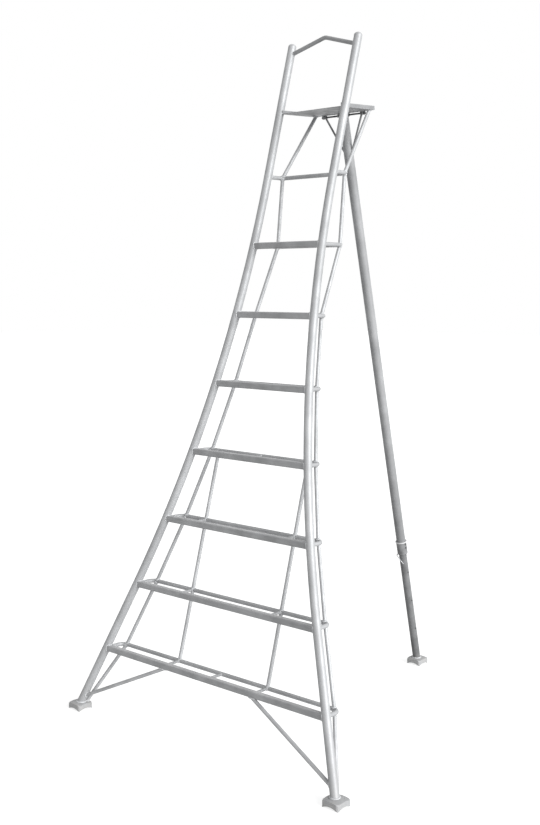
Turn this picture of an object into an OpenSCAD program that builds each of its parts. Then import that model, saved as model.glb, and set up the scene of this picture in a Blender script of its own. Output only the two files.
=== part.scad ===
// Orchard tripod ladder for picking cherries, in millimetres.
// X runs across the ladder, Y from the climber toward the rear leg, Z up from the ground.
// Two bell-bottom stiles carry seven treads, one upper rung, a platform and a handrail.
// The rear leg swings on a rod under the platform and slides out to suit the ground.

/* [Stance] */
// Lean of the stiles from upright, in degrees
lean_deg = 15.2; // [12:0.1:18]
// Spread of the rear leg from upright, in degrees
leg_deg = 13.5; // [10:0.5:18]
// Height of the first step over the ground
first_rise = 306; // [295:1:316]
// Height from one step to the next
step_rise = 300; // [285:1:315]

/* [Stiles] */
// Outside diameter of the stile tube
stile_d = 36; // [32:0.5:42]
// Wall of the stile tube
stile_wall = 2.5; // [1.5:0.1:4]
// Half the distance between the stile axes at the top
top_half_w = 187; // [175:1:210]
// Height at which the bell curve starts
bell_start_h = 2394; // [2300:1:2450]
// Radius of the bell curve
bell_r = 5300; // [4800:10:5600]
// Angle through which the bell curve turns, in degrees
bell_deg = 20.7; // [17:0.1:21]
// Height of the stile ends over the standing surface
stile_over_platform = 304; // [250:1:400]
// Height of the domed plug in the end of a stile
cap_rise = 12; // [8:0.5:16]

/* [Treads] */
// Height of the front bar of a tread
bar_h = 28; // [24:0.5:34]
// Depth of the front bar from front to back
bar_t = 26; // [22:0.5:28]
// Corner radius of the front bar
bar_round = 6; // [4:0.5:9]
// Wall of the front bar
bar_wall = 2.5; // [1.5:0.1:3.5]
// Outside diameter of the rear loop tube
loop_d = 18; // [17:0.5:22]
// Wall of the rear loop tube
loop_wall = 2; // [1:0.1:3]
// Distance of a rear loop behind the stile axes
loop_depth = 90; // [80:1:100]
// Distance of the seventh rear loop behind the stile axes
top_loop_depth = 150; // [130:1:165]
// Distance of the upper rung behind the stile axes
rung_depth = 96; // [85:1:110]
// Centre line radius of a loop's corners
loop_bend_r = 32; // [28:0.5:40]
// Distance of a loop's side inside the stile axis
loop_inset = 8; // [4:0.5:9]
// Diameter of the spacers between bar and loop
spacer_d = 12; // [8:0.5:13]

/* [Platform] */
// Distance of the standing surface's front below the ninth step height
platform_drop = 28; // [10:1:30]
// Rise of the platform toward the back, in degrees
platform_deg = 3; // [0:0.5:5]
// Thickness of the platform sheet
plate_t = 3; // [2:0.25:5]
// Height of the folded edge over the standing surface
rim_h = 14; // [8:0.5:20]
// Distance of the platform's front edge before the stile axes
platform_front = 5; // [0:0.5:10]

/* [Handrail] */
// Outside diameter of the handrail tube
rail_d = 18; // [16:0.5:26]
// Wall of the handrail tube
rail_wall = 2; // [1:0.1:3]
// Distance of the handrail's ends below the stile ends, along the slope
rail_drop = 40; // [30:1:60]
// Height of the raised bend over the handrail's ends, along the slope
rail_rise = 57; // [40:1:70]
// Centre line radius of the raised bend
rail_bend_r = 40; // [30:1:60]

/* [Braces] */
// Outside diameter of the brace tubes
brace_d = 16; // [12:0.5:16.5]
// Wall of the brace tubes
brace_wall = 2; // [1:0.1:3]
// Distance of the inner braces from the middle
inner_x = 260; // [240:1:270]
// Distance of the front braces' upper ends from the middle
front_brace_x = 232; // [200:1:280]
// Height at which a front brace meets its stile
front_brace_h = 59; // [57:1:68]

/* [Feet] */
// Width of a claw foot
foot_w = 80; // [76:1:90]
// Height of a claw foot
foot_h = 35; // [32:0.5:39]
// Rise of a claw foot's top toward its middle
dome_rise = 10; // [8:0.5:14]
// Rise of the skirt's lower edge between the corners
claw_rise = 10; // [5:0.5:12]
// Corner radius of a claw foot, seen from above
foot_round = 11; // [6:0.5:14]
// How far the middle of a foot stands outside the end of its tube
foot_out = 7; // [0:0.5:10]
// Thickness of a claw foot's plate
foot_t = 4; // [3:0.25:5]
// Diameter of the drain holes in a claw foot
drain_d = 6; // [4:0.5:8]

/* [Rear leg] */
// Outside diameter of the upper leg tube
leg_d = 44; // [42:0.5:50]
// Wall of both leg tubes
leg_wall = 2.5; // [2:0.1:3.5]
// Length of the upper leg from the hinge to its lower end
leg_upper_len = 2133; // [2050:1:2200]
// Length of the lower leg that is held inside the upper leg
leg_overlap = 490; // [400:1:600]
// Distance of the hinge behind the stile axes
hinge_back = 219; // [200:1:230]
// Distance of the hinge below the platform sheet
hinge_drop = 8; // [8:0.25:12]
// Diameter of the hinge rod
rod_d = 8; // [6:0.5:9]
// Outside diameter of the barrel at the top of the leg and of the eyes on the stays
barrel_d = 14; // [13:0.5:15]
// Half the length of the barrel
barrel_half = 32; // [25:1:40]
// Thickness of a hinge lug
lug_t = 6; // [4:0.5:8]
// Width of a hinge lug
lug_w = 16; // [14:0.5:20]
// Diameter of the stays that spread from the leg
stay_d = 9; // [7:0.5:11]
// Length of the eye on a stay
eye_len = 14; // [12:0.5:18]
// Distance of a stay's eye from the middle
stay_x = 104; // [90:1:115]
// Distance down the leg where the stays meet its axis
stay_drop = 205; // [180:1:240]

/* [Collar and lock] */
// Wall of the collar
collar_wall = 2.8; // [2:0.1:5]
// Length of the collar
collar_len = 66; // [58:1:80]
// Thickness of the collar's lip below the upper leg
collar_lip = 7; // [5:0.5:10]
// How far the collar's flange stands out
flange_proud = 2.5; // [1.5:0.25:5]
// Thickness of the collar's flange
flange_t = 6; // [4:0.5:8]
// Diameter of the rivets in the collar
rivet_d = 5; // [4:0.5:6]
// Diameter of the lock pin
pin_d = 8; // [6:0.5:10]
// Distance from the lock pin to the first free hole
first_hole_step = 98; // [88:1:108]
// Distance from one free hole to the next
hole_pitch = 155; // [150:1:160]
// Diameter of the lock pin's wire handle
wire_d = 4.5; // [3:0.25:6]

/* [Hidden] */
$fn = 72;

// Room left between welded pieces
weld_gap = 0.2;
// Radial clearance of turning and plugged fits
run_gap = 0.05;
// Radial clearance between the leg tubes
slide_gap = 0.5;
// Room between faces that move past each other
face_gap = 0.4;
// Overrun of cuts past the face they open
overrun = 20;
// Overlap of bent lengths where they meet
bend_lap = 2;
// How far bending draws in each face of a stile's wall
bend_thin = 0.1;
function lap_deg(r) = bend_lap / r * 180 / PI;

// Shares of one size in another
rod_head_share = 1.6;
barrel_sink_share = 0.3;
pin_past_share = 0.7;
wire_bend_share = 1.5;
handle_share = 7;
side_brace_share = 0.55;
drain_share = 4.5;

// Counts
tread_count = 7;
rung_index = tread_count + 1;
platform_index = rung_index + 1;
side_brace_count = platform_index;
inner_brace_count = 3;
free_hole_count = 3;
rivet_count = 2;
drain_count = 2;

// Heights
function step_h(i) = first_rise + (i - 1) * step_rise;
platform_h = step_h(platform_index) - platform_drop;
hinge_below = plate_t + hinge_drop;
hinge_h = platform_h + hinge_back * sin(platform_deg) - hinge_below * cos(platform_deg);
stile_top_h = platform_h + stile_over_platform;
function level_h(i) = step_h(i) - (i == rung_index ? loop_d : bar_h) / 2;

// Claw feet: a domed top, rounded shoulders and a skirt whose corners reach the ground
corner_deg = 45;
function arc_r(half, rise) = (pow(half, 2) + pow(rise, 2)) / (2 * rise);
foot_reach = foot_w / sqrt(2);
dome_r = arc_r(foot_reach, dome_rise);
claw_r = arc_r(foot_w / 2 - foot_t, claw_rise);
drain_spread = foot_reach - drain_share * drain_d;

// Depths, from the stile axes at the ground, then shifted so that the feet are centred on the origin
hinge_from_ground =
    platform_h * tan(lean_deg) + hinge_back * cos(platform_deg) + hinge_below * sin(platform_deg);
front_foot_from_ground = foot_h * tan(lean_deg);
rear_foot_from_ground = hinge_from_ground + (hinge_h - foot_h) * tan(leg_deg) + foot_out;
y_shift = -(front_foot_from_ground + rear_foot_from_ground) / 2;
function stile_y(h) = h * tan(lean_deg) + y_shift;
hinge_y = hinge_from_ground + y_shift;
rear_foot_y = rear_foot_from_ground + y_shift;

// Stile line, measured in the leaning plane: straight, bell curve, straight
function slope(h) = h / cos(lean_deg);
top_s = slope(stile_top_h);
bell_s = slope(bell_start_h);
bell_end_s = bell_s - bell_r * sin(bell_deg);
bell_end_x = top_half_w + bell_r * (1 - cos(bell_deg));
function stile_turn(h) =
    slope(h) >= bell_s ? 0 :
    slope(h) <= bell_end_s ? bell_deg :
    asin((bell_s - slope(h)) / bell_r);
function stile_x(h) =
    slope(h) <= bell_end_s ? bell_end_x + (bell_end_s - slope(h)) * tan(bell_deg) :
    top_half_w + bell_r * (1 - cos(stile_turn(h)));
foot_x = stile_x(foot_h) + foot_out;

// Loops and the points on their corners where the side braces are welded
low_weld_deg = 10;
high_weld_deg = 45;
loop_front = bar_t / 2 + weld_gap;
function level_depth(i) = i == rung_index ? rung_depth : i == tread_count ? top_loop_depth : loop_depth;
function level_inset(i) = i == rung_index ? 0 : loop_inset;
function level_front(i) = i == rung_index ? 0 : loop_front;
function weld_deg(i) = i < tread_count ? low_weld_deg : high_weld_deg;
function corner_x(i) = stile_x(level_h(i)) - level_inset(i) - loop_bend_r;
function weld_point(i) = [
    corner_x(i) + loop_bend_r * sin(weld_deg(i)),
    stile_y(level_h(i)) + level_depth(i) - loop_bend_r * (1 - cos(weld_deg(i))),
    level_h(i)
];
function stile_point(h) = [stile_x(h), stile_y(h), h];

// Spacers stand in the middle, or under the inner braces, or both
function spacer_spots(i) =
    i == 1 ? [-inner_x, 0, inner_x] :
    i <= inner_brace_count ? [-inner_x, inner_x] :
    [0];

// Platform
platform_half_w = top_half_w - stile_d / 2 - weld_gap;
platform_back = hinge_back + lug_w / 2;
platform_len = platform_front + platform_back;
platform_corner = [
    platform_half_w - brace_d,
    stile_y(platform_h) + (platform_back - brace_d) * cos(platform_deg),
    platform_h + (platform_back - brace_d) * sin(platform_deg)
];

// Handrail
rail_s = top_s - rail_drop;
rail_deg = atan(rail_rise / top_half_w);

// Hinge
lug_x = stay_x + eye_len / 2 + face_gap + lug_t / 2;
rod_head_d = rod_head_share * rod_d;
rod_head_t = rod_d / 2;
rod_half = lug_x + lug_t / 2 + weld_gap;

// Rear leg, measured down the leg from the hinge
leg_top_drop = barrel_sink_share * barrel_d;
leg_r = leg_d / 2;
collar_d = leg_d + 2 * (weld_gap + collar_wall);
flange_d = collar_d + 2 * flange_proud;
lower_d = leg_d - 2 * leg_wall - 2 * slide_gap;
lower_top = leg_upper_len - leg_overlap;
lower_end = hinge_h / cos(leg_deg);
collar_end = leg_upper_len + collar_lip;
collar_top = collar_end - collar_len;
rivet_head_d = 2 * rivet_d;
rivet_head_t = rivet_d / 2;
rivet_in = leg_r - leg_wall + weld_gap;
rivet_pitch = (collar_len - collar_lip - flange_t) / (rivet_count + 1);
function rivet_at(i) = collar_top + flange_t + (i + 0.5) * rivet_pitch;

// Lock pin, seated under the collar's lip
pin_at = collar_end + face_gap + pin_d / 2;
pin_reach = lower_d / 2 + pin_past_share * pin_d;
hole_d = pin_d + 2 * run_gap;
wire_x = lower_d / 2 + face_gap + wire_d / 2;
wire_bend_r = wire_bend_share * wire_d;
handle_y = lower_d / 2 + wire_d;
handle_len = handle_share * pin_d;
handle_deg = 49;
first_hole_at = pin_at + first_hole_step;
hole_places = concat([pin_at], [for (i = [0 : free_hole_count - 1]) first_hole_at + i * hole_pitch]);

metal = [0.80, 0.81, 0.82];
dark_metal = [0.62, 0.63, 0.65];
bright_metal = [0.90, 0.90, 0.92];

SIDES = ["right", "left"];

// Outline of a tube; no wall gives a solid bar
module ring(d, wall) {
    difference() {
        circle(d = d);
        if (wall > 0) circle(d = d - 2 * wall);
    }
}

// Tube along +Z from the origin
module tube(len, d, wall) {
    linear_extrude(len) ring(d, wall);
}

// Tube between two points
module strut(a, b, d, wall) {
    run = b - a;
    translate(a)
        rotate([0, acos(run.z / norm(run)), atan2(run.y, run.x)])
            tube(norm(run), d, wall);
}

// Bar along X, centred, that cuts the seat of a cross tube
module cross_bar(len, d) {
    rotate([0, 90, 0]) cylinder(h = len, d = d, center = true);
}

// Carries the leaning plane, where local Z runs up the slope
module in_plane() {
    translate([0, y_shift, 0]) rotate([-lean_deg, 0, 0]) children();
}

// Carries the platform, where local Y runs back over its standing surface
module in_platform() {
    translate([0, stile_y(platform_h), platform_h]) rotate([platform_deg, 0, 0]) children();
}

// Space of the platform's sheet and of what lies over it
module over_platform(below) {
    in_platform()
        translate([-top_half_w, -platform_front, -plate_t - below])
            cube([2 * top_half_w, platform_len + overrun, rim_h + 2 * overrun]);
}

// Carries the rear leg, where local -Z runs down the leg from the hinge
module in_leg() {
    translate([0, hinge_y, hinge_h]) rotate([leg_deg, 0, 0]) children();
}

// Left is a mirror of right
module on_side(side) {
    if (side == "left") mirror([1, 0, 0]) children();
    else children();
}

// Room for both stiles where a piece is welded to them at one height
module stile_seats(h, len) {
    for (side = [-1, 1])
        in_plane()
            translate([side * stile_x(h), 0, slope(h)])
                rotate([0, -side * stile_turn(h), 0])
                    cylinder(h = len, d = stile_d + 2 * weld_gap, center = true);
}

// Stile: upper straight, bell curve and lower straight, seated on the dome of the foot
module stile(side) {
    on_side(side)
        difference() {
            in_plane()
                translate([top_half_w + bell_r, 0, bell_s])
                    rotate([90, 0, 0])
                        rotate([0, 0, 180])
                            bell_path();
            front_foot_dome(weld_gap);
        }
}

// Path of a stile about the centre of its bell curve
module bell_path() {
    translate([bell_r, 0, 0]) rotate([90, 0, 0]) tube(top_s - bell_s, stile_d, stile_wall);
    rotate([0, 0, -lap_deg(bell_r)])
        rotate_extrude(angle = bell_deg + 2 * lap_deg(bell_r), $fn = 2 * $fn)
            translate([bell_r, 0]) ring(stile_d - 2 * bend_thin, stile_wall - 2 * bend_thin);
    rotate([0, 0, bell_deg])
        translate([bell_r, 0, 0])
            rotate([-90, 0, 0])
                tube(bell_end_s / cos(bell_deg), stile_d, stile_wall);
}

module stile_left() { color(metal) stile("left"); }

module stile_right() { color(metal) stile("right"); }

// Domed plugs in the stile ends
module stile_caps() {
    cap_r = arc_r(stile_d / 2, cap_rise);
    plug_d = stile_d - 2 * stile_wall - 2 * run_gap;
    color(metal)
        for (side = SIDES)
            on_side(side)
                in_plane()
                    translate([top_half_w, 0, top_s + weld_gap]) {
                        difference() {
                            translate([0, 0, cap_rise - cap_r]) sphere(r = cap_r);
                            translate([0, 0, -cap_r]) cube(2 * cap_r, center = true);
                        }
                        translate([0, 0, -cap_rise]) cylinder(h = cap_rise, d = plug_d);
                    }
}

// Outline of a bar with round corners, centred
module round_outline(t, h, r) {
    square([t, h - 2 * r], center = true);
    square([t - 2 * r, h], center = true);
    for (x = [-1, 1], y = [-1, 1])
        translate([x * (t / 2 - r), y * (h / 2 - r)]) circle(r = r);
}

// Space of a tread's front bar, grown on every side
module bar_space(i, grow) {
    h = level_h(i);
    translate([0, stile_y(h), h])
        rotate([90, 0, 90])
            linear_extrude(2 * stile_x(h), center = true)
                round_outline(bar_t + 2 * grow, bar_h + 2 * grow, bar_round + grow);
}

// Front bar of a tread, shaped to the stiles at its ends
module tread_bar(i) {
    color(metal)
        difference() {
            bar_space(i, 0);
            bar_space(i, -bar_wall);
            stile_seats(level_h(i), 2 * stile_d + bar_h);
        }
}

// Path of a rear loop: on each side a run back, a corner and half of the rear run
module loop_form(i, d, wall) {
    turn_y = level_depth(i) - loop_bend_r;
    translate([0, stile_y(level_h(i)), level_h(i)])
        for (side = SIDES)
            on_side(side)
                translate([corner_x(i), turn_y, 0]) {
                    rotate_extrude(angle = 90) translate([loop_bend_r, 0]) ring(d, wall);
                    translate([loop_bend_r, 0, 0]) rotate([90, 0, 0]) tube(turn_y - level_front(i), d, wall);
                    translate([0, loop_bend_r, 0]) rotate([0, -90, 0]) tube(corner_x(i), d, wall);
                }
}

// Rear loop of a tread, shaped to the stiles at its ends
module tread_loop(i) {
    color(metal)
        difference() {
            loop_form(i, loop_d, loop_wall);
            stile_seats(level_h(i), 2 * stile_d + loop_d);
        }
}

module upper_rung() { tread_loop(rung_index); }

// Room for the rear run of a loop
module rear_run_seat(i) {
    translate([0, stile_y(level_h(i)) + level_depth(i), level_h(i)])
        cross_bar(2 * corner_x(i), loop_d + 2 * weld_gap);
}

// Spacer between a bar and its loop, before its end is shaped
module spacer_rod(i, x, d) {
    translate([x, stile_y(level_h(i)) + loop_front, level_h(i)])
        rotate([-90, 0, 0])
            cylinder(h = level_depth(i) - loop_front, d = d);
}

module tread_spacers() {
    color(metal)
        for (i = [1 : tread_count], x = spacer_spots(i))
            difference() {
                spacer_rod(i, x, spacer_d);
                rear_run_seat(i);
            }
}

// Standing platform: sheet with its sides and back folded up
module platform() {
    color(dark_metal)
        in_platform()
            difference() {
                translate([-platform_half_w, -platform_front, -plate_t])
                    cube([2 * platform_half_w, platform_len, plate_t + rim_h]);
                translate([plate_t - platform_half_w, -platform_front - overrun, 0])
                    cube([2 * (platform_half_w - plate_t), platform_len - plate_t + overrun, overrun]);
            }
}

// Handrail with one raised bend
module handrail() {
    color(metal)
        difference() {
            in_plane()
                translate([0, 0, rail_s + rail_rise])
                    for (side = SIDES)
                        on_side(side) rail_half();
            stile_seats(rail_s * cos(lean_deg), 2 * stile_d + rail_d);
        }
}

// Right half of the handrail, from the middle of its bend
module rail_half() {
    run = top_half_w / cos(rail_deg) - rail_bend_r * tan(rail_deg);
    difference() {
        translate([0, 0, -rail_bend_r / cos(rail_deg)])
            rotate([90, 0, 0])
                rotate([0, 0, 90 - rail_deg]) {
                    rotate_extrude(angle = rail_deg + lap_deg(rail_bend_r))
                        translate([rail_bend_r, 0]) ring(rail_d, rail_wall);
                    translate([rail_bend_r, 0, 0]) rotate([90, 0, 0]) tube(run, rail_d, rail_wall);
                }
        translate([-2 * rail_d, 0, 0]) cube(4 * rail_d, center = true);
    }
}

// Ends of a side brace: foot to step 1, step to step, then the upper rung to the platform
function level_part(v) = [v.x, v.y, 0];
function beside_stile(run) = stile_point(0) + side_brace_share * stile_d * run / norm(run);
function side_brace_foot(i) =
    i == 1 ? beside_stile(level_part(weld_point(1) - stile_point(level_h(1)))) : weld_point(i - 1);
function side_brace_head(i) = i == platform_index ? platform_corner : weld_point(i);

// Length of a side brace, shaped to what it meets at both ends
module side_brace(side, i) {
    foot = side_brace_foot(i);
    head = side_brace_head(i);
    past = i == platform_index ? brace_d * (head - foot) / norm(head - foot) : [0, 0, 0];
    color(metal)
        on_side(side)
            difference() {
                strut(foot, head + past, brace_d, brace_wall);
                if (i == 1) stile_seats(foot_h, 4 * stile_d);
                if (i == 1) front_foot_dome(weld_gap);
                if (i > 1) loop_form(i - 1, loop_d + 2 * weld_gap, 0);
                if (i <= rung_index) loop_form(i, loop_d + 2 * weld_gap, 0);
                if (i == platform_index) over_platform(weld_gap);
            }
}

// Length of an inner brace between two loops
module inner_brace(side, i) {
    function end(k) = [inner_x, stile_y(level_h(k)) + level_depth(k), level_h(k)];
    color(metal)
        on_side(side)
            difference() {
                strut(end(i), end(i + 1), brace_d, brace_wall);
                for (k = [i, i + 1]) {
                    rear_run_seat(k);
                    if (k <= inner_brace_count) spacer_rod(k, inner_x, spacer_d + 2 * weld_gap);
                }
            }
}

// Front brace from the stile above its foot to the underside of step 1
module front_brace(side) {
    head = [front_brace_x, stile_y(level_h(1)), level_h(1)];
    color(metal)
        on_side(side)
            difference() {
                strut(stile_point(front_brace_h), head, brace_d, brace_wall);
                stile_seats(front_brace_h, 4 * stile_d);
                bar_space(1, weld_gap);
            }
}

module front_brace_left() { front_brace("left"); }

module front_brace_right() { front_brace("right"); }

// Dome that a claw foot is pressed to, about one foot's place
module foot_dome(x, y, r) {
    translate([x, y, foot_h - dome_r]) sphere(r = r);
}

// Dome of the right front foot, grown on every side
module front_foot_dome(grow) {
    foot_dome(foot_x, stile_y(foot_h), dome_r + grow);
}

// Space under a dome, inside the ball of the shoulders and in a rounded square, about one foot's place
module foot_block(x, y, inset, below) {
    intersection() {
        foot_dome(x, y, dome_r - inset);
        translate([x, y, 0]) sphere(r = foot_reach - inset);
        translate([x, y, -below])
            linear_extrude(foot_h + below)
                round_outline(foot_w - 2 * inset, foot_w - 2 * inset, foot_round);
    }
}

// Claw foot: pressed cap with arched sides and drain holes
module claw_foot(x, y) {
    color(metal)
        difference() {
            foot_block(x, y, 0, 0);
            foot_block(x, y, foot_t, overrun);
            for (turn = [0, 90])
                translate([x, y, claw_rise - claw_r])
                    rotate([0, 90, turn])
                        cylinder(h = 2 * foot_w, r = claw_r, center = true);
            for (i = [0 : drain_count - 1])
                translate([x, y, 0])
                    rotate([0, 0, corner_deg + i * 360 / drain_count])
                        translate([drain_spread, 0, 0]) cylinder(h = foot_h + overrun, d = drain_d);
        }
}

module front_foot(side) { on_side(side) claw_foot(foot_x, stile_y(foot_h)); }

module foot_left() { front_foot("left"); }

module foot_right() { front_foot("right"); }

module foot_rear() { claw_foot(0, rear_foot_y); }

// Lugs that hang from the platform and hold the hinge rod
module hinge_lugs() {
    color(dark_metal)
        for (side = [-1, 1])
            translate([side * lug_x, hinge_y, hinge_h])
                rotate([platform_deg, 0, 0])
                    difference() {
                        union() {
                            cross_bar(lug_t, lug_w);
                            translate([-lug_t / 2, -lug_w / 2, 0])
                                cube([lug_t, lug_w, hinge_drop - weld_gap]);
                        }
                        translate([0, 0, hinge_drop - weld_gap + lug_w / 2]) cube(lug_w, center = true);
                        cross_bar(2 * lug_t, rod_d + 2 * run_gap);
                    }
}

// Rod through the lugs and the barrel, headed at both ends
module hinge_rod() {
    color(bright_metal)
        translate([0, hinge_y, hinge_h]) {
            cross_bar(2 * rod_half, rod_d);
            for (side = [-1, 1])
                translate([side * (rod_half + rod_head_t / 2), 0, 0]) cross_bar(rod_head_t, rod_head_d);
        }
}

// Sleeve that turns on the rod, about the hinge
module sleeve(len) {
    difference() {
        cross_bar(len, barrel_d);
        rod_bore();
    }
}

// Room for the rod in what turns on it
module rod_bore() {
    cross_bar(2 * rod_half, rod_d + 2 * run_gap);
}

// Barrel across the top of the leg
module leg_barrel() {
    color(metal) in_leg() sleeve(2 * barrel_half);
}

// Rivet holes through the collar and the upper leg
module rivet_holes() {
    for (i = [0 : rivet_count - 1])
        translate([0, 0, -rivet_at(i)])
            rotate([0, 90, 0])
                cylinder(h = collar_d, d = rivet_d + 2 * run_gap);
}

// Upper leg tube, saddled under the barrel
module leg_upper() {
    color(metal)
        in_leg()
            difference() {
                translate([0, 0, -leg_upper_len])
                    tube(leg_upper_len - leg_top_drop, leg_d, leg_wall);
                cross_bar(2 * leg_d, barrel_d + 2 * weld_gap);
                rivet_holes();
            }
}

// Stay from an eye on the rod to the side of the leg
module leg_stay(side) {
    color(dark_metal)
        on_side(side)
            in_leg() {
                translate([stay_x, 0, 0]) sleeve(eye_len);
                difference() {
                    strut([stay_x, 0, 0], [0, 0, -stay_drop], stay_d, 0);
                    rod_bore();
                    translate([0, 0, -stay_drop - leg_d])
                        cylinder(h = stay_drop, d = leg_d + 2 * weld_gap);
                }
            }
}

module leg_stay_left() { leg_stay("left"); }

module leg_stay_right() { leg_stay("right"); }

// Collar round the lower end of the upper leg, with a flange above and a lip below
module leg_collar() {
    color(metal)
        in_leg()
            difference() {
                union() {
                    translate([0, 0, -collar_end]) cylinder(h = collar_len, d = collar_d);
                    translate([0, 0, -collar_top - flange_t]) cylinder(h = flange_t, d = flange_d);
                }
                translate([0, 0, -leg_upper_len - weld_gap])
                    cylinder(h = collar_len + overrun, d = leg_d + 2 * weld_gap);
                translate([0, 0, -collar_end - overrun])
                    cylinder(h = collar_len, d = lower_d + 2 * slide_gap);
                rivet_holes();
            }
}

// Rivets on the right side of the collar
module collar_rivets() {
    color(dark_metal)
        in_leg()
            for (i = [0 : rivet_count - 1])
                translate([0, 0, -rivet_at(i)])
                    rotate([0, 90, 0]) {
                        translate([0, 0, rivet_in]) cylinder(h = collar_d / 2 - rivet_in, d = rivet_d);
                        translate([0, 0, collar_d / 2]) cylinder(h = rivet_head_t, d = rivet_head_d);
                    }
}

// Lower leg tube with its cross holes, seated on the dome of the rear foot
module leg_lower() {
    color(dark_metal)
        difference() {
            in_leg()
                difference() {
                    translate([0, 0, -lower_end]) tube(lower_end - lower_top, lower_d, leg_wall);
                    for (place = hole_places)
                        translate([0, 0, -place]) cross_bar(2 * lower_d, hole_d);
                }
            foot_dome(0, rear_foot_y, dome_r + weld_gap);
        }
}

// Lock pin with a bent wire handle that hangs before the lower leg
module lock_pin() {
    color(bright_metal)
        in_leg()
            translate([0, 0, -pin_at]) {
                cross_bar(2 * pin_reach, pin_d);
                translate([-wire_x, -handle_y, 0])
                    rotate([0, handle_deg, 0])
                        wire_handle();
            }
}

// Wire from the pin forward to one bend, then along local X
module wire_handle() {
    translate([wire_bend_r, wire_bend_r, 0])
        rotate([0, 0, 180])
            rotate_extrude(angle = 90) translate([wire_bend_r, 0]) circle(d = wire_d);
    translate([0, wire_bend_r, 0]) rotate([-90, 0, 0]) cylinder(h = handle_y - wire_bend_r, d = wire_d);
    translate([wire_bend_r, 0, 0]) rotate([0, 90, 0]) cylinder(h = handle_len - wire_bend_r, d = wire_d);
}

stile_left();
stile_right();
stile_caps();
for (i = [1 : tread_count]) {
    tread_bar(i);
    tread_loop(i);
}
upper_rung();
tread_spacers();
platform();
handrail();
for (side = SIDES, i = [1 : side_brace_count])
    side_brace(side, i);
for (side = SIDES, i = [1 : inner_brace_count])
    inner_brace(side, i);
front_brace_left();
front_brace_right();
foot_left();
foot_right();
hinge_lugs();
hinge_rod();
leg_barrel();
leg_upper();
leg_stay_left();
leg_stay_right();
leg_collar();
collar_rivets();
leg_lower();
foot_rear();
lock_pin();
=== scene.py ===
import math

import bpy
import numpy as np
from mathutils import Matrix, Vector


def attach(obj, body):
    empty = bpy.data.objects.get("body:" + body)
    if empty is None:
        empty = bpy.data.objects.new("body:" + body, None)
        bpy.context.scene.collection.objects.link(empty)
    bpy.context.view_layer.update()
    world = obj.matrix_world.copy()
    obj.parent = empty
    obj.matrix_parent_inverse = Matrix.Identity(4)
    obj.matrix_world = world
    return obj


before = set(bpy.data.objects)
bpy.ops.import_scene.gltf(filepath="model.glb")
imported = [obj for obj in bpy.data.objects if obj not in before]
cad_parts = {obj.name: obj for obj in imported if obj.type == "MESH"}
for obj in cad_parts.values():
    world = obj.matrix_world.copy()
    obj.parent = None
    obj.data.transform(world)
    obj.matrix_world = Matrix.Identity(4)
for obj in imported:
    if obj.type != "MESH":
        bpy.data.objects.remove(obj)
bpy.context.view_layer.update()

# Sizes that the welds share with the solids, in metres, with angles given in degrees
FIRST_RISE, STEP_RISE = 0.306, 0.300
LEAN = math.radians(15.2)
LEG_LEAN = math.radians(13.5)
STILE_R = 0.018
TOP_HALF_W = 0.187
BELL_START_H = 2.394
BELL_R = 5.300
BELL = math.radians(20.7)
STILE_OVER_PLATFORM = 0.304
BAR_H, BAR_T, BAR_ROUND = 0.028, 0.026, 0.006
LOOP_R = 0.009
LOOP_DEPTH, TOP_LOOP_DEPTH, RUNG_DEPTH = 0.090, 0.150, 0.096
LOOP_BEND_R = 0.032
LOOP_INSET = 0.008
SPACER_R = 0.006
PLATFORM_DROP = 0.028
PLATFORM_TILT = math.radians(3)
PLATE_T = 0.003
RIM_H = 0.014
RAIL_R = 0.009
RAIL_DROP, RAIL_RISE = 0.040, 0.057
BRACE_R = 0.008
INNER_X = 0.260
FRONT_BRACE_X, FRONT_BRACE_H = 0.232, 0.059
SIDE_BRACE_SHARE = 0.55
FOOT_W, FOOT_H, DOME_RISE, FOOT_OUT = 0.080, 0.035, 0.010, 0.007
LEG_R, LOWER_LEG_R = 0.022, 0.019
LEG_UPPER_LEN, COLLAR_LEN, COLLAR_LIP, FLANGE_T = 2.133, 0.066, 0.007, 0.006
HINGE_BACK, HINGE_DROP = 0.219, 0.008
BARREL_R = 0.007
BARREL_SINK_SHARE = 0.3
LUG_T, LUG_W, LUG_ROUND = 0.006, 0.016, 0.001
STAY_R, STAY_X, STAY_DROP = 0.0045, 0.104, 0.205
EYE_LEN = 0.014
FACE_GAP, WELD_GAP = 0.0004, 0.0002
LOW_WELD, HIGH_WELD = math.radians(10), math.radians(45)
TREADS, RUNG, PLATFORM_STEP, INNER_BRACES = 7, 8, 9, 3
STEPS = range(1, TREADS + 1)
SIDES = (1, -1)

# Weld beads, in metres
BEAD_R = 0.0021
LUG_BEAD_R = 0.00147
STILE_BEAD_R = 0.0026
BRACE_BEAD_R = 0.0032
FOOT_BEAD_R = 0.0038
BEAD_STEP = 0.0009
RIPPLE_PITCH = 0.0036
EDGE_BEAD_SHIFT = 0.005

# Shares and counts that the beads are drawn with
RIPPLE_SHARE = 0.11
END_SHARE = 0.02
UPRIGHT_SHARE = 0.9
BEAD_SIDES = 8
SEAM_POINTS, EDGE_POINTS, ARC_POINTS = 96, 24, 40
LEAST_POINTS, LEAST_WAVES = 12, 3

# Camera, solved from the photograph's straight lines and steps
CAMERA_AT = (3.3500, -3.2020, 1.8949)
CAMERA_YAW = math.radians(42.4223)
CAMERA_PITCH = math.radians(-5.9659)
CAMERA_ROLL = math.radians(-0.1588)
FOCAL_PX = 1162.57
IMAGE_H = 825
SENSOR_MM = 36.0
FAR_CLIP = 200.0

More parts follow.
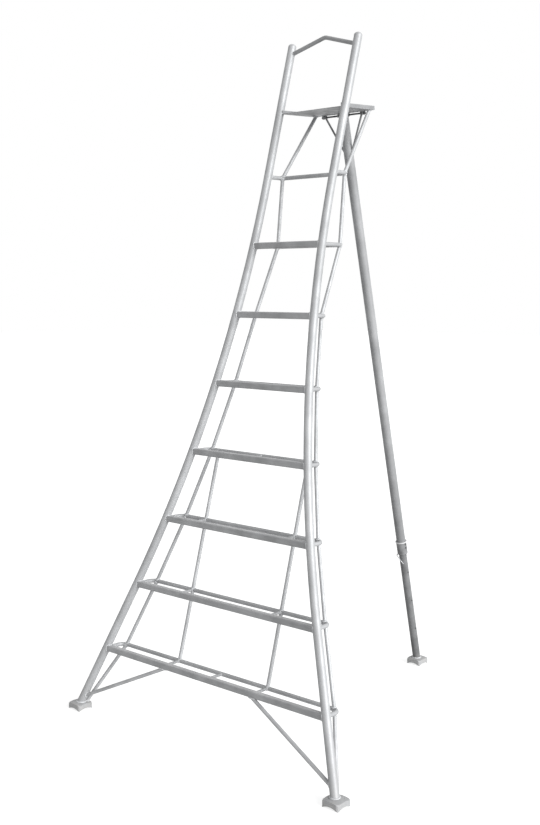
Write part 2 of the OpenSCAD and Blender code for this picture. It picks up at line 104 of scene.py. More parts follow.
# Light and floor
SUN_STRENGTH = 3.35
SUN_SOFT = math.radians(40)
SUN_FROM = (1.0, -0.04, 0.40)
ROOM_LIGHT = 0.34
WHITE = (1.0, 1.0, 1.0, 1.0)
FLOOR_COLOR = (0.55, 0.55, 0.55, 1.0)
FLOOR_GLOW = 0.78
FLOOR_HALF = 40.0


# Places on the ladder
def slope(h):
    """Distance up the leaning plane at height h."""
    return h / math.cos(LEAN)


def step_h(i):
    """Height of the top of step i."""
    return FIRST_RISE + (i - 1) * STEP_RISE


SIDE_BRACE_OUT = SIDE_BRACE_SHARE * 2 * STILE_R
BARREL_SINK = BARREL_SINK_SHARE * 2 * BARREL_R
PLATFORM_H = step_h(PLATFORM_STEP) - PLATFORM_DROP
HINGE_BELOW = PLATE_T + HINGE_DROP
HINGE_H = (
    PLATFORM_H + HINGE_BACK * math.sin(PLATFORM_TILT) - HINGE_BELOW * math.cos(PLATFORM_TILT)
)
HINGE_OUT = (
    PLATFORM_H * math.tan(LEAN)
    + HINGE_BACK * math.cos(PLATFORM_TILT)
    + HINGE_BELOW * math.sin(PLATFORM_TILT)
)
FRONT_FOOT_OUT = FOOT_H * math.tan(LEAN)
REAR_FOOT_OUT = HINGE_OUT + (HINGE_H - FOOT_H) * math.tan(LEG_LEAN) + FOOT_OUT
Y_SHIFT = -(FRONT_FOOT_OUT + REAR_FOOT_OUT) / 2
HINGE_Y = HINGE_OUT + Y_SHIFT
REAR_FOOT_Y = REAR_FOOT_OUT + Y_SHIFT
BELL_S = slope(BELL_START_H)
BELL_END_S = BELL_S - BELL_R * math.sin(BELL)
BELL_END_X = TOP_HALF_W + BELL_R * (1 - math.cos(BELL))
DOME_R = (FOOT_W ** 2 / 2 + DOME_RISE ** 2) / (2 * DOME_RISE)
LOOP_FRONT = BAR_T / 2 + WELD_GAP
PLATFORM_HALF_W = TOP_HALF_W - STILE_R - WELD_GAP
PLATFORM_BACK = HINGE_BACK + LUG_W / 2
LUG_X = STAY_X + EYE_LEN / 2 + FACE_GAP + LUG_T / 2
LEG_AXIS = np.array([0.0, -math.sin(LEG_LEAN), math.cos(LEG_LEAN)])
HINGE = np.array([0.0, HINGE_Y, HINGE_H])
FLANGE_TOP = HINGE @ LEG_AXIS - (LEG_UPPER_LEN + COLLAR_LIP - COLLAR_LEN)
FLANGE = (FLANGE_TOP - FLANGE_T, FLANGE_TOP)


def stile_turn(h):
    """Angle of a stile from the slope at height h: asin(drop below the bell's start / bell's radius)."""
    return min(BELL, math.asin(min(1.0, max(0.0, (BELL_S - slope(h)) / BELL_R))))


def stile_x(h):
    """Distance of a stile from the middle at height h."""
    if slope(h) <= BELL_END_S:
        return BELL_END_X + (BELL_END_S - slope(h)) * math.tan(BELL)
    return TOP_HALF_W + BELL_R * (1 - math.cos(stile_turn(h)))


def stile_y(h):
    """Depth of the stiles at height h."""
    return h * math.tan(LEAN) + Y_SHIFT


def stile_point(h, side):
    """Point on a stile's axis at height h."""
    return np.array([side * stile_x(h), stile_y(h), h])


def stile_axis(h, side):
    """Direction up a stile at height h: the slope turned sideways by the bell."""
    turn = stile_turn(h)
    up = math.cos(turn)
    return np.array([-side * math.sin(turn), up * math.sin(LEAN), up * math.cos(LEAN)])


def level_h(i):
    """Height of the middle of step i."""
    return step_h(i) - (LOOP_R if i == RUNG else BAR_H / 2)


def level_depth(i):
    """Distance of step i's loop behind the stile axes."""
    return {RUNG: RUNG_DEPTH, TREADS: TOP_LOOP_DEPTH}.get(i, LOOP_DEPTH)


def loop_side_x(i):
    """Distance of a loop's side from the middle."""
    return stile_x(level_h(i)) - (0.0 if i == RUNG else LOOP_INSET)


def corner_weld(i, side):
    """Point on a loop's corner where the side braces meet, and the loop's direction there."""
    at = LOW_WELD if i < TREADS else HIGH_WELD
    x = loop_side_x(i) - LOOP_BEND_R * (1 - math.sin(at))
    y = stile_y(level_h(i)) + level_depth(i) - LOOP_BEND_R * (1 - math.cos(at))
    return np.array([side * x, y, level_h(i)]), np.array([side * math.cos(at), -math.sin(at), 0.0])


def rear_run(x, i):
    """Point on the rear run of step i's loop."""
    return np.array([x, stile_y(level_h(i)) + level_depth(i), level_h(i)])


def front_dome(side):
    """Middle of the ball that a front foot's dome is part of."""
    return np.array([side * (stile_x(FOOT_H) + FOOT_OUT), stile_y(FOOT_H), FOOT_H - DOME_R])


def turned(points, angle, at):
    """Points turned about X by an angle and moved to a place."""
    c, s = math.cos(angle), math.sin(angle)
    return points @ np.array([[1, 0, 0], [0, c, s], [0, -s, c]]) + at


def on_platform(points):
    """Points given over the standing surface, with Y running back along it."""
    return turned(points, PLATFORM_TILT, np.array([0.0, stile_y(PLATFORM_H), PLATFORM_H]))


def on_leg(points):
    """Points given from the hinge, with -Z running down the leg."""
    return turned(points, LEG_LEAN, HINGE)


# Seams where one piece meets another
def unit(v):
    """Vectors scaled to length 1."""
    return v / np.linalg.norm(v, axis=-1, keepdims=True)


def tube_wall(a, d, r):
    """Ring a + r (cos t u + sin t v) round a tube along d, and its outward directions."""
    t = np.linspace(0, 2 * math.pi, SEAM_POINTS, endpoint=False)[:, None]
    u = unit(np.cross(d, [0.0, 0.0, 1.0] if abs(d[2]) < UPRIGHT_SHARE else [1.0, 0.0, 0.0]))
    out = np.cos(t) * u + np.sin(t) * np.cross(d, u)
    return a + r * out, out


def box_wall(half_a, half_b, r):
    """Rounded rectangle: quarter rings of radius r about four corners; points and outward directions."""
    t = np.linspace(0, 2 * math.pi, SEAM_POINTS, endpoint=False) + math.pi / SEAM_POINTS
    out = np.stack([np.cos(t), np.sin(t)], axis=1)
    return np.sign(out) * np.array([half_a - r, half_b - r]) + r * out, out


def meet_round(q, d, p, h, radius):
    """Larger t at which q + t d lies on the round wall about the line p + s h."""
    w, g = np.cross(q - p, h), np.cross(d, h)
    a, b, c = g @ g, w @ g, (w * w).sum(axis=1) - radius ** 2
    return (-b + np.sqrt(np.maximum(b * b - a * c, 0))) / a


def meet_flat(q, d, p, n):
    """Distance t at which q + t d lies on the plane through p square to n."""
    return ((p - q) @ n) / (d @ n)


def meet_ball(q, d, centre, radius):
    """Larger t at which q + t d lies on a ball."""
    w = q - centre
    b, c = w @ d, (w * w).sum(axis=1) - radius ** 2
    return -b + np.sqrt(np.maximum(b * b - c, 0))


def seam(a, towards, r, meet, *rest):
    """Closed line where a tube of radius r from a meets what carries it, and its outward directions."""
    d = unit(np.asarray(towards, float) - a)
    q, out = tube_wall(np.asarray(a, float), d, r)
    return q + meet(q, d, *rest)[:, None] * d, out


# Seams of the treads
def bar_seam(i, side):
    """Rounded rectangle of a front bar carried along X to the wall of its stile."""
    flat, out = box_wall(BAR_T / 2, BAR_H / 2, BAR_ROUND)
    h, none = level_h(i), np.zeros(len(flat))
    d = np.array([-side, 0.0, 0.0])
    q = stile_point(h, side) + np.column_stack([none, flat])
    t = meet_round(q, d, stile_point(h, side), stile_axis(h, side), STILE_R)
    return q + t[:, None] * d, np.column_stack([none, out])


def loop_seam(i, side):
    """Ring of a loop's side carried along Y to its stile's wall, and never in front of the bar's back."""
    h = level_h(i)
    a = np.array([side * loop_side_x(i), stile_y(h), h])
    path, out = seam(
        a, a + [0, 1, 0], LOOP_R, meet_round, stile_point(h, side), stile_axis(h, side), STILE_R
    )
    front = stile_y(h) + (0.0 if i == RUNG else LOOP_FRONT)
    path[:, 1] = np.maximum(path[:, 1], front)
    return path, out


def spacer_spots(i):
    """Distances of step i's spacers from the middle."""
    if i == 1:
        return (-INNER_X, 0.0, INNER_X)
    return (-INNER_X, INNER_X) if i <= INNER_BRACES else (0.0,)


def spacer_seams(i):
    """Both ends of each spacer of a tread."""
    for x in spacer_spots(i):
        front = np.array([x, stile_y(level_h(i)) + LOOP_FRONT, level_h(i)])
        back = rear_run(x, i)
        yield seam(front, back, SPACER_R, meet_flat, front, np.array([0.0, 1.0, 0.0]))
        yield seam(back, front, SPACER_R, meet_round, back, np.array([1.0, 0.0, 0.0]), LOOP_R)


# Seams of the braces
def side_brace_seams(side):
    """Both ends of the nine lengths of a side brace, from its foot to the platform's corner."""
    corner = on_platform(np.array([PLATFORM_HALF_W - 2 * BRACE_R, PLATFORM_BACK - 2 * BRACE_R, 0.0]))
    corner[0] *= side
    welds = [corner_weld(i, side) for i in range(1, RUNG + 1)]
    back = (welds[0][0] - stile_point(level_h(1), side)) * [1, 1, 0]
    foot = stile_point(0.0, side) + SIDE_BRACE_OUT * unit(back)
    ends = [foot] + [point for point, _ in welds] + [corner]
    yield seam(foot, ends[1], BRACE_R, meet_ball, front_dome(side), DOME_R)
    for k, (point, axis) in enumerate(welds, 1):
        for other in (ends[k - 1], ends[k + 1]):
            yield seam(point, other, BRACE_R, meet_round, point, axis, LOOP_R)
    under = on_platform(np.array([0.0, 0.0, -PLATE_T]))
    up = np.array([0.0, -math.sin(PLATFORM_TILT), math.cos(PLATFORM_TILT)])
    yield seam(corner, ends[-2], BRACE_R, meet_flat, under, up)


def inner_brace_seams(side):
    """Both ends of the three lengths of an inner brace."""
    across = np.array([1.0, 0.0, 0.0])
    for i in range(1, INNER_BRACES + 1):
        low, high = rear_run(side * INNER_X, i), rear_run(side * INNER_X, i + 1)
        yield seam(low, high, BRACE_R, meet_round, low, across, LOOP_R)
        yield seam(high, low, BRACE_R, meet_round, high, across, LOOP_R)


def front_brace_seams(side):
    """A front brace on its stile and on the underside of step 1."""
    low = stile_point(FRONT_BRACE_H, side)
    head = np.array([side * FRONT_BRACE_X, stile_y(level_h(1)), level_h(1)])
    under = head - [0, 0, BAR_H / 2]
    yield seam(low, head, BRACE_R, meet_round, low, stile_axis(FRONT_BRACE_H, side), STILE_R)
    yield seam(head, low, BRACE_R, meet_flat, under, np.array([0.0, 0.0, 1.0]))


# Seams of the top
def rail_seam(side):
    """A handrail end on its stile, near the top of the slope."""
    rise = math.atan(RAIL_RISE / TOP_HALF_W)
    h = PLATFORM_H + STILE_OVER_PLATFORM - RAIL_DROP * math.cos(LEAN)
    a = stile_point(h, side)
    inward = np.array([
        -side * math.cos(rise), math.sin(rise) * math.sin(LEAN), math.sin(rise) * math.cos(LEAN)
    ])
    return seam(a, a + inward, RAIL_R, meet_round, a, stile_axis(h, side), STILE_R)


def platform_seams(side):
    """Two short lines up the platform's folded edge, before and behind its line of contact with the stile."""
    z = np.linspace(-PLATE_T, RIM_H, EDGE_POINTS)
    for shift in (-EDGE_BEAD_SHIFT, EDGE_BEAD_SHIFT):
        x = np.full_like(z, side * (PLATFORM_HALF_W + WELD_GAP))
        path = np.column_stack([x, z * math.tan(LEAN + PLATFORM_TILT) + shift, z])
        out = np.tile([0.0, math.copysign(1.0, shift), 0.0], (len(z), 1))
        yield on_platform(path), out


def lug_seam(side):
    """Rectangle round a hinge lug on the underside of the platform."""
    flat, out = box_wall(LUG_T / 2, LUG_W / 2, LUG_ROUND)
    none = np.zeros(len(flat))
    path = np.column_stack([flat + [side * LUG_X, HINGE_BACK], none - PLATE_T])
    return on_platform(path), np.column_stack([out, none])


# Seams of the feet and the leg
def front_foot_seam(side):
    """A stile's end on the dome of its foot."""
    end = stile_point(FOOT_H, side)
    return seam(end, end + stile_axis(FOOT_H, side), STILE_R, meet_ball, front_dome(side), DOME_R)


def rear_foot_seam():
    """The lower leg's end on the dome of its foot."""
    end = np.array([0.0, REAR_FOOT_Y - FOOT_OUT, FOOT_H])
    dome = np.array([0.0, REAR_FOOT_Y, FOOT_H - DOME_R])
    return seam(end, end + LEG_AXIS, LOWER_LEG_R, meet_ball, dome, DOME_R)


def barrel_seam(side):
    """Arc under the barrel where it crosses the leg's wall: (sqrt(R^2 - (r cos t)^2), r cos t, r sin t)."""
    reach = math.asin(BARREL_SINK / BARREL_R)
    t = np.linspace(math.pi + reach, 2 * math.pi - reach, ARC_POINTS)
    y = BARREL_R * np.cos(t)
    path = np.column_stack([side * np.sqrt(LEG_R ** 2 - y ** 2), y, BARREL_R * np.sin(t)])
    return on_leg(path), np.tile([float(side), 0.0, 0.0], (len(t), 1))


def stay_seam(side):
    """Foot of a stay on the leg's wall."""
    low, eye, up = on_leg(np.array([[0, 0, -STAY_DROP], [side * STAY_X, 0, 0], [0, 0, 1.0]]))
    axis = unit(up - on_leg(np.zeros(3)))
    return seam(low, eye, STAY_R, meet_round, low, axis, LEG_R)


# Beads along the seams
def even_steps(path, out, closed):
    """Points and outward directions at even steps of a path's length, their shares of it, and the length."""
    if closed:
        path, out = np.vstack([path, path[:1]]), np.vstack([out, out[:1]])
    run = np.concatenate([[0], np.cumsum(np.linalg.norm(np.diff(path, axis=0), axis=1))])
    count = max(LEAST_POINTS, int(run[-1] / BEAD_STEP))
    s = np.linspace(0, run[-1], count, endpoint=not closed)
    pick = [np.stack([np.interp(s, run, part[:, k]) for k in range(3)], axis=1) for part in (path, out)]
    return pick[0], pick[1], s / run[-1], run[-1]


def bead_faces(n, closed):
    """Quads i m + j between n rings of m points, and three across each end of an open bead."""
    m = BEAD_SIDES
    i, j = np.meshgrid(np.arange(n if closed else n - 1), np.arange(m), indexing="ij")
    i1, j1 = (i + 1) % n, (j + 1) % m
    quads = np.stack([i * m + j, i * m + j1, i1 * m + j1, i1 * m + j], axis=-1).reshape(-1, 4)
    if closed:
        return quads
    k = np.arange(m // 2 - 1)
    end = np.stack([k, k + 1, m - 2 - k, m - 1 - k], axis=-1)
    return np.vstack([quads, end[:, ::-1], end + (n - 1) * m])


def bead(path, out, size, closed):
    """Weld bead P(s) + b(s) (cos f e1 + sin f e2) along a seam, with b = size (1 + ripple cos 2 pi n s).
    e1 is the outward direction made square to the seam. An open bead thins to its two ends."""
    p, out, s, length = even_steps(path, out, closed)
    along = unit(np.roll(p, -1, axis=0) - np.roll(p, 1, axis=0) if closed else np.gradient(p, axis=0))
    e1 = unit(out - (out * along).sum(axis=1, keepdims=True) * along)
    e2 = np.cross(along, e1)
    waves = max(LEAST_WAVES, round(length / RIPPLE_PITCH))
    b = size * (1 + RIPPLE_SHARE * np.cos(2 * math.pi * waves * s))
    if not closed:
        b = b * np.sqrt(np.clip(np.sin(math.pi * s), END_SHARE, 1))
    f = np.linspace(0, 2 * math.pi, BEAD_SIDES, endpoint=False)[None, :, None]
    ring = np.cos(f) * e1[:, None] + np.sin(f) * e2[:, None]
    verts = (p[:, None] + b[:, None, None] * ring).reshape(-1, 3)
    return verts, bead_faces(len(p), closed)


def beads(seams, size, closed=True):
    """A bead along each seam."""
    return [bead(path, out, size, closed) for path, out in seams]


def weld_piece(name, made, body):
    """One object from many beads, on a body, with the finish of the welds."""
    starts = np.cumsum([0] + [len(points) for points, _ in made])
    verts = np.concatenate([points for points, _ in made])
    faces = np.concatenate([quads + start for (_, quads), start in zip(made, starts)])
    mesh = bpy.data.meshes.new(name)
    mesh.from_pydata(verts.tolist(), [], faces.tolist())
    mesh.polygons.foreach_set("use_smooth", np.ones(len(faces), dtype=bool))
    mesh.materials.append(WELD)
    piece = bpy.data.objects.new(name, mesh)
    bpy.context.scene.collection.objects.link(piece)
    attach(piece, body)


# Shader nodes
class Shading:
    """The nodes of one material or of the room, with short ways to add and join them."""

    def __init__(self, tree):
        self.tree = tree

    def put(self, node, target, source):
        """Joins a socket to an input, or sets the input to a constant."""
        if isinstance(source, bpy.types.NodeSocket):
            self.tree.links.new(source, node.inputs[target])
        else:
            node.inputs[target].default_value = source

    def add(self, kind, inputs=None, **properties):
        """A new node with its properties and inputs."""
        node = self.tree.nodes.new(kind)
        for key, value in properties.items():
            setattr(node, key, value)
        for target, source in (inputs or {}).items():
            self.put(node, target, source)
        return node

    def math(self, operation, *sources):
        """A sum, product or the like of sockets and constants."""
        return self.add("ShaderNodeMath", dict(enumerate(sources)), operation=operation).outputs[0]

    def noise(self, at, scale, detail, **more):
        """Noise over a place, from 0 to 1."""
        inputs = {"Vector": at, "Scale": scale, "Detail": detail, **more}
        return self.add("ShaderNodeTexNoise", inputs).outputs[0]

    def spread(self, source, span, to):
        """A value carried from one span to another, and held at its ends."""
        inputs = {"Value": source, "From Min": span[0], "From Max": span[1], "To Min": to[0], "To Max": to[1]}
        return self.add("ShaderNodeMapRange", inputs).outputs[0]

    def mix(self, amount, under, over, how="MIX"):
        """One colour laid over another."""
        inputs = {"Fac": amount, "Color1": under, "Color2": over}
        return self.add("ShaderNodeMixRGB", inputs, blend_type=how).outputs[0]


def new_material(name):
    """A node material, its nodes and its Principled shader."""
    made = bpy.data.materials.new(name)
    made.use_nodes = True
    principled = next(node for node in made.node_tree.nodes if node.type == "BSDF_PRINCIPLED")
    return made, Shading(made.node_tree), principled


# Bare metal: clouds of oxide, draw lines, pits, wear with a painted highlight, soil, a painted highlight band
# and a darkening towards the bottom
CLOUD_DETAIL, CLOUD_ROUGHNESS = 5.0, 0.6
TONE_STOPS = (0.32, 0.66)
BLUE_TRACE = (0.985, 1.0, 1.02)
# Draw lines are a millimetre wide and some centimetres long: their scales along and across
LINE_LONG, LINE_FINE = 11.0, 850.0
ALONG_X = (LINE_LONG, LINE_FINE, LINE_FINE)
ALONG_Y = (LINE_FINE, LINE_LONG, LINE_FINE)
ALONG_Z = (LINE_FINE, LINE_FINE, LINE_LONG)
LINE_DETAIL = 3.0
LINE_SPAN, LINE_TONES = (0.28, 0.72), (0.88, 1.05)
PIT_SCALE, PIT_DETAIL, PIT_SHARE = 620.0, 2.0, 0.6
PIT_DEPTH = 0.0004
SHEEN_LINE_SHARE = 0.4
SHEEN_SPAN, SHEEN_CHANGE = (0.45, 0.95), (0.09, -0.07)
# Wear and a painted highlight on what faces up: their colour and the facing that takes them
WORN_HIGHLIGHT_COLOR = (0.66, 0.66, 0.67, 1.0)
WORN_HIGHLIGHT_UP_SPAN = (0.55, 0.98)
WORN_LINE_SPAN, WORN_LINES = (0.35, 0.60), (0.3, 1.0)
WORN_POLISH = -0.16
SOIL_COLOR = (0.20, 0.17, 0.13, 1.0)
SOIL_TOP = 0.16
SOIL_CLOUD_SPAN, SOIL_CLOUDS = (0.38, 0.62), (0.1, 1.0)
SOIL_DULL = 0.35
# Painted highlight band: its colour and how soft its edges are
HIGHLIGHT_BAND_COLOR = (0.80, 0.80, 0.81, 1.0)
HIGHLIGHT_BAND_EDGE_SHARE = 0.25
SPECULAR = 0.12


def oxide(nodes, clouds, tones):
    """Clouds of a dull and a clean grey, with a trace of blue."""
    ramp = nodes.add("ShaderNodeValToRGB", {0: clouds})
    for stop, at, level in zip(ramp.color_ramp.elements, TONE_STOPS, tones):
        stop.position, stop.color = at, (*(level * trace for trace in BLUE_TRACE), 1.0)
    return ramp.outputs[0]


def painted_highlight_band(nodes, color, place, highlight_band):
    """A painted highlight: a bright band between two places along the leg."""
    dot = nodes.add("ShaderNodeVectorMath", {0: place, 1: LEG_AXIS}, operation="DOT_PRODUCT")
    along = dot.outputs["Value"]
    low, high = highlight_band
    edge = HIGHLIGHT_BAND_EDGE_SHARE * (high - low)
    above = nodes.spread(along, (low - edge, low + edge), (0.0, 1.0))
    below = nodes.spread(along, (high - edge, high + edge), (1.0, 0.0))
    return nodes.mix(nodes.math("MULTIPLY", above, below), color, HIGHLIGHT_BAND_COLOR)


def worn_and_highlit(nodes, color, roughness, lines, most):
    """Wear and a painted highlight that brighten what faces up, and wear that polishes it."""
    normal = nodes.add("ShaderNodeNewGeometry").outputs["Normal"]
    up = nodes.add("ShaderNodeSeparateXYZ", {0: normal}).outputs["Z"]
    # What faces up takes the wear and the painted highlight
    upward_highlight = nodes.spread(up, WORN_HIGHLIGHT_UP_SPAN, (0.0, most))
    amount = nodes.math("MULTIPLY", upward_highlight, nodes.spread(lines, WORN_LINE_SPAN, WORN_LINES))
    polished = nodes.math("MULTIPLY_ADD", amount, WORN_POLISH, roughness)
    return nodes.mix(amount, color, WORN_HIGHLIGHT_COLOR), polished


def soiled(nodes, color, roughness, clouds, height, most):
    """Soil that thins out from the ground up and dulls the metal."""
    low = nodes.spread(height, (0.0, SOIL_TOP), (most, 0.0))
    amount = nodes.math("MULTIPLY", low, nodes.spread(clouds, SOIL_CLOUD_SPAN, SOIL_CLOUDS))
    dulled = nodes.math("MULTIPLY_ADD", amount, SOIL_DULL, roughness)
    return nodes.mix(amount, color, SOIL_COLOR), dulled


def bare_metal(
    name, tones, draw, rough=0.50, metallic=0.22,
    cloud=7.0, soil=0.0, wear_and_highlight=0.0, bump=0.12, fade=None, highlight_band=None,
):
    """Bare metal from its dull and clean tones, with draw lines along an axis and clouds of oxide of a scale.
    Soil is low down, and wear with a painted highlight on top. Fade is two heights and the share of the
    colour left at the lower one, so it is darker towards the bottom. The highlight band is a painted
    highlight between two places along the leg."""
    made, nodes, principled = new_material(name)
    place = nodes.add("ShaderNodeTexCoord").outputs["Object"]
    height = nodes.add("ShaderNodeSeparateXYZ", {0: place}).outputs["Z"]
    clouds = nodes.noise(place, cloud, CLOUD_DETAIL, Roughness=CLOUD_ROUGHNESS)
    drawn = nodes.add("ShaderNodeMapping", {"Vector": place, "Scale": draw}).outputs[0]
    lines = nodes.noise(drawn, 1.0, LINE_DETAIL)
    pits = nodes.noise(place, PIT_SCALE, PIT_DETAIL)
    shade = nodes.spread(lines, LINE_SPAN, LINE_TONES)
    color = nodes.mix(1.0, oxide(nodes, clouds, tones), shade, "MULTIPLY")
    sheen = nodes.math("MULTIPLY_ADD", lines, SHEEN_LINE_SHARE, clouds)
    roughness = nodes.spread(sheen, SHEEN_SPAN, [rough + change for change in SHEEN_CHANGE])
    # Fade: the colour is darker towards the bottom
    if fade:
        low, high, share = fade
        color = nodes.mix(1.0, color, nodes.spread(height, (low, high), (share, 1.0)), "MULTIPLY")
    # A painted highlight band, bright between two places along the leg
    if highlight_band:
        color = painted_highlight_band(nodes, color, place, highlight_band)
    # Wear and a painted highlight brighten what faces up
    if wear_and_highlight:
        color, roughness = worn_and_highlit(nodes, color, roughness, lines, wear_and_highlight)
    if soil:
        color, roughness = soiled(nodes, color, roughness, clouds, height, soil)
    relief = nodes.math("MULTIPLY_ADD", pits, PIT_SHARE, lines)
    dents = nodes.add("ShaderNodeBump", {"Height": relief, "Strength": bump, "Distance": PIT_DEPTH})
    nodes.put(principled, "Base Color", color)
    nodes.put(principled, "Roughness", roughness)
    nodes.put(principled, "Normal", dents.outputs[0])
    nodes.put(principled, "Metallic", metallic)
    nodes.put(principled, "Specular IOR Level", SPECULAR)
    return made


# Finishes of the pieces
STILE_TUBE = bare_metal("drawn_tube_upright", (0.48, 0.60), ALONG_Z, soil=0.25)
CROSS_TUBE = bare_metal("drawn_tube_across", (0.46, 0.58), ALONG_X)
RAIL_TUBE = bare_metal("handled_tube", (0.34, 0.46), ALONG_X, rough=0.46, cloud=9.0)
# The tops of the treads and of the platform carry wear and a painted highlight
TREAD_BAR = bare_metal("trodden_bar", (0.39, 0.51), ALONG_X, cloud=11.0, wear_and_highlight=0.6)
SPACER = bare_metal("spacer_rod", (0.38, 0.50), ALONG_Y, cloud=20.0)
BRACE = bare_metal("brace_tube", (0.50, 0.64), ALONG_Z, cloud=12.0, soil=0.2)
SHEET = bare_metal("mill_sheet", (0.34, 0.46), ALONG_Y, rough=0.46, cloud=14.0, wear_and_highlight=0.5)
FOOT = bare_metal("pressed_plate", (0.48, 0.62), ALONG_X, cloud=26.0, soil=0.3, bump=0.2)
LEG_TUBE = bare_metal("leg_tube", (0.36, 0.50), ALONG_Z, rough=0.46, metallic=0.10, fade=(0.55, 1.35, 0.66))
STAY = bare_metal("stay_rod", (0.26, 0.38), ALONG_Z, rough=0.46, metallic=0.10, cloud=20.0)
LOWER_LEG = bare_metal(
    "sliding_tube", (0.17, 0.32), ALONG_Z, rough=0.46, metallic=0.05, cloud=10.0, soil=0.3
)
# The collar carries a painted highlight band on its flange
COLLAR = bare_metal(
    "turned_collar", (0.24, 0.38), ALONG_X, rough=0.46, metallic=0.10, cloud=30.0, highlight_band=FLANGE
)
ZINC = bare_metal("zinc_plate", (0.52, 0.70), ALONG_X, rough=0.28, metallic=0.80, cloud=60.0)
# Dark steel. On the hinge rod it is painted shade, as dark as the shade under the platform
DARK_STEEL_AND_SHADE = bare_metal("dark_steel_and_shade", (0.12, 0.22), ALONG_X, rough=0.42, metallic=0.20, cloud=60.0)
WELD = bare_metal("weld_bead", (0.58, 0.82), ALONG_X, rough=0.36, metallic=0.20, cloud=150.0, bump=0.2)

# A node takes the finish whose start its name has
FINISHES = (
    ("stile", STILE_TUBE),
    ("tread_bar", TREAD_BAR),
    ("tread_loop", CROSS_TUBE),
    ("upper_rung", CROSS_TUBE),
    ("handrail", RAIL_TUBE),
    ("tread_spacers", SPACER),
    ("platform", SHEET),
    ("hinge_lugs", SHEET),
    # The hinge rod's dark steel is painted shade
    ("hinge_rod", DARK_STEEL_AND_SHADE),
    ("side_brace", BRACE),
    ("inner_brace", BRACE),
    ("front_brace", BRACE),
    ("foot", FOOT),
    ("leg_barrel", COLLAR),
    ("leg_upper", LEG_TUBE),
    ("leg_stay", STAY),
    ("leg_collar", COLLAR),
    ("collar_rivets", DARK_STEEL_AND_SHADE),
    ("leg_lower", LOWER_LEG),
    ("lock_pin", ZINC),
)
for name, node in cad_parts.items():
    finish = next(made for start, made in FINISHES if name.startswith(start))
    for held in node.material_slots:
        held.material = finish


# Weld pieces
def all_of(seams, places):
    """The seams of each place, one after another."""
    return [one for place in places for one in seams(place)]


weld_piece("welds_spacers", beads(all_of(spacer_seams, STEPS), BEAD_R), "frame")
bar_seams = [bar_seam(i, side) for i in STEPS for side in SIDES]
weld_piece("welds_tread_bars", beads(bar_seams, STILE_BEAD_R), "frame")
loop_seams = [loop_seam(i, side) for i in (*STEPS, RUNG) for side in SIDES]
weld_piece("welds_tread_loops", beads(loop_seams, BRACE_BEAD_R), "frame")
weld_piece("welds_side_braces", beads(all_of(side_brace_seams, SIDES), BRACE_BEAD_R), "frame")
weld_piece("welds_inner_braces", beads(all_of(inner_brace_seams, SIDES), BRACE_BEAD_R), "frame")
weld_piece("welds_front_braces", beads(all_of(front_brace_seams, SIDES), BRACE_BEAD_R), "frame")
weld_piece("welds_handrail", beads(map(rail_seam, SIDES), BEAD_R), "frame")
weld_piece("welds_platform", beads(all_of(platform_seams, SIDES), BEAD_R, closed=False), "frame")
weld_piece("welds_hinge_lugs", beads(map(lug_seam, SIDES), LUG_BEAD_R), "frame")
weld_piece("welds_front_feet", beads(map(front_foot_seam, SIDES), FOOT_BEAD_R), "frame")
weld_piece("weld_rear_foot", beads([rear_foot_seam()], FOOT_BEAD_R), "lower_leg")
leg_top = beads(map(barrel_seam, SIDES), BEAD_R, closed=False) + beads(map(stay_seam, SIDES), BEAD_R)
weld_piece("welds_leg_top", leg_top, "leg")


# Camera
def camera_axes():
    """Image axes from yaw, pitch and roll: columns are right, up and back."""
    cy, sy = math.cos(CAMERA_YAW), math.sin(CAMERA_YAW)
    cp, sp = math.cos(CAMERA_PITCH), math.sin(CAMERA_PITCH)
    cr, sr = math.cos(CAMERA_ROLL), math.sin(CAMERA_ROLL)
    ahead = Vector((-sy * cp, cy * cp, sp))
    right = Vector((cy, sy, 0.0))
    down = ahead.cross(right)
    right, down = cr * right + sr * down, -sr * right + cr * down
    return Matrix((right, -down, -ahead)).transposed().to_4x4()


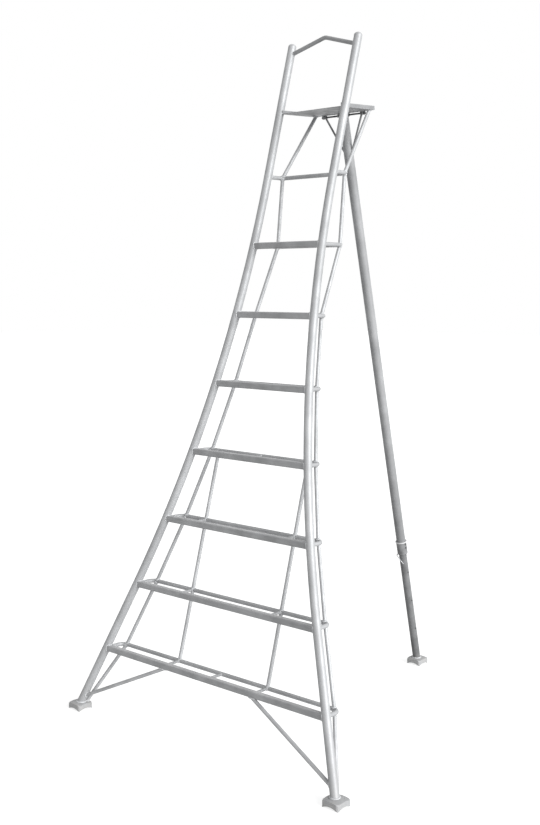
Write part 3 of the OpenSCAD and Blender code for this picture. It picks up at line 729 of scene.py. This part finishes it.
lens = bpy.data.cameras.new("camera")
lens.sensor_width = SENSOR_MM
lens.lens = FOCAL_PX * SENSOR_MM / IMAGE_H
lens.clip_end = FAR_CLIP
camera = bpy.data.objects.new("camera", lens)
bpy.context.scene.collection.objects.link(camera)
stand = Vector(CAMERA_AT) + Vector((0.0, Y_SHIFT, 0.0))
camera.matrix_world = Matrix.Translation(stand) @ camera_axes()
bpy.context.scene.camera = camera

# Sun
sun = bpy.data.lights.new("sun", "SUN")
sun.energy = SUN_STRENGTH
sun.angle = SUN_SOFT
lamp = bpy.data.objects.new("sun", sun)
lamp.rotation_mode = "QUATERNION"
lamp.rotation_quaternion = Vector(SUN_FROM).to_track_quat("Z", "Y")
bpy.context.scene.collection.objects.link(lamp)


# Room: dim light on the object before a white background
def shown_to(nodes):
    """1 for rays that show the background: from the camera, and mirrored or refracted."""
    path = nodes.add("ShaderNodeLightPath").outputs
    either = nodes.math("MAXIMUM", path["Is Camera Ray"], path["Is Glossy Ray"])
    return nodes.math("MAXIMUM", either, path["Is Transmission Ray"])


room = bpy.data.worlds.new("studio")
room.use_nodes = True
room.node_tree.nodes.clear()
bpy.context.scene.world = room
nodes = Shading(room.node_tree)
dim = nodes.add("ShaderNodeBackground", {"Color": WHITE, "Strength": ROOM_LIGHT}).outputs[0]
white = nodes.add("ShaderNodeBackground", {"Color": WHITE, "Strength": 1.0}).outputs[0]
both = nodes.add("ShaderNodeMixShader", {0: shown_to(nodes), 1: dim, 2: white}).outputs[0]
nodes.add("ShaderNodeOutputWorld", {"Surface": both})

# Floor: pale, and lit up to white where it is seen, under the object's shadow
pale, nodes, principled = new_material("pale_floor")
nodes.put(principled, "Base Color", FLOOR_COLOR)
nodes.put(principled, "Roughness", 1.0)
nodes.put(principled, "Specular IOR Level", 0.0)
nodes.put(principled, "Emission Color", WHITE)
nodes.put(principled, "Emission Strength", nodes.math("MULTIPLY", shown_to(nodes), FLOOR_GLOW))
mesh = bpy.data.meshes.new("floor")
corners = [(x * FLOOR_HALF, y * FLOOR_HALF, 0.0) for x, y in ((-1, -1), (1, -1), (1, 1), (-1, 1))]
mesh.from_pydata(corners, [], [(0, 1, 2, 3)])
mesh.materials.append(pale)
floor = bpy.data.objects.new("floor", mesh)
bpy.context.scene.collection.objects.link(floor)

bpy.context.scene.view_settings.view_transform = "Standard"
